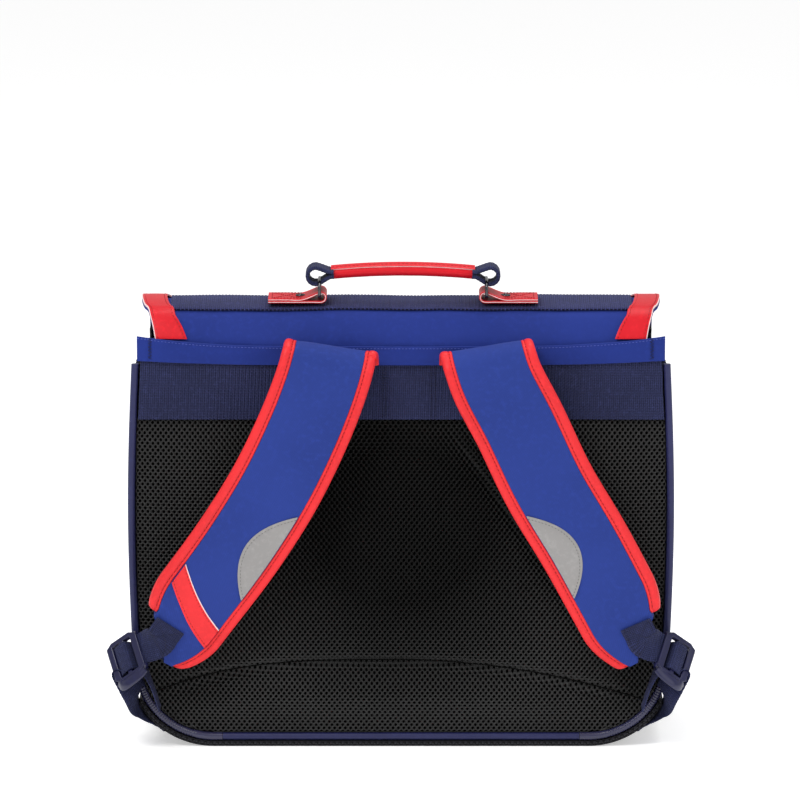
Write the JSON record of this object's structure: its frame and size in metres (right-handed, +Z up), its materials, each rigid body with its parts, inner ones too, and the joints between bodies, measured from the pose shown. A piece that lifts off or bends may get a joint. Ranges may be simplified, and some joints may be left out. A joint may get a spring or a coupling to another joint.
{
  "type": "school ransel",
  "caption": "School satchel-backpack with a padded mesh back, curved shoulder straps, a folded flap and a carrying handle.",
  "frame": {"origin": "centre of the base's underside", "axes": "+Z up, -Y towards the wearer's back (the padded mesh side), +Y towards the front flap, +X to the right as seen from the mesh side"},
  "size_m": [0.4416, 0.2173, 0.363],
  "materials": {
    "spacer_mesh": "black knitted spacer mesh with open cells",
    "navy_webbing": "ribbed navy webbing",
    "blue_fabric": "plain woven blue polyester with a soft sheen",
    "navy_fabric": "plain woven navy polyester",
    "black_fabric": "coarse black fabric",
    "navy_piping": "navy coated piping with a satin sheen",
    "red_leather": "red imitation leather with a fine grain and pale raw edges",
    "reflective_fabric": "grey reflective fabric",
    "navy_plastic": "moulded navy plastic",
    "dark_metal": "dark gunmetal plating"
  },
  "bodies": {
    "root": {"back_panel": "spacer_mesh", "back_webbing": "navy_webbing", "hem_band": "blue_fabric", "side_left": "navy_fabric", "side_right": "navy_fabric", "top_gusset_left": "black_fabric", "top_gusset_right": "black_fabric", "base": "black_fabric", "front_panel": "blue_fabric", "piping_left": "navy_piping", "piping_right": "navy_piping", "piping_bottom": "navy_piping", "piping_front": "navy_piping", "piping_guard_left": "navy_plastic", "piping_guard_right": "navy_plastic", "flap": "blue_fabric", "flap_trim_left": "red_leather", "flap_trim_right": "red_leather", "top_webbing": "navy_webbing", "handle_tab_left": "red_leather", "handle_tab_right": "red_leather", "rivet_left": "dark_metal", "rivet_right": "dark_metal", "ring_left": "dark_metal", "ring_right": "dark_metal", "handle_loop_left": "navy_webbing", "handle_loop_right": "navy_webbing", "handle_grip": "red_leather", "shoulder_strap_left": "blue_fabric", "shoulder_strap_right": "blue_fabric", "strap_binding_left_outer": "red_leather", "strap_binding_left_inner": "red_leather", "strap_binding_right_outer": "red_leather", "strap_binding_right_inner": "red_leather", "reflector_left": "reflective_fabric", "reflector_right": "reflective_fabric", "strap_band": "red_leather", "strap_tab_left": "navy_webbing", "strap_tab_right": "navy_webbing", "buckle_left": "navy_plastic", "buckle_right": "navy_plastic", "adjuster_left": "navy_webbing", "adjuster_right": "navy_webbing", "closing_strap_left": "red_leather", "closing_strap_right": "red_leather", "clasp_left": "dark_metal", "clasp_right": "dark_metal"}
  },
  "joints": []
}
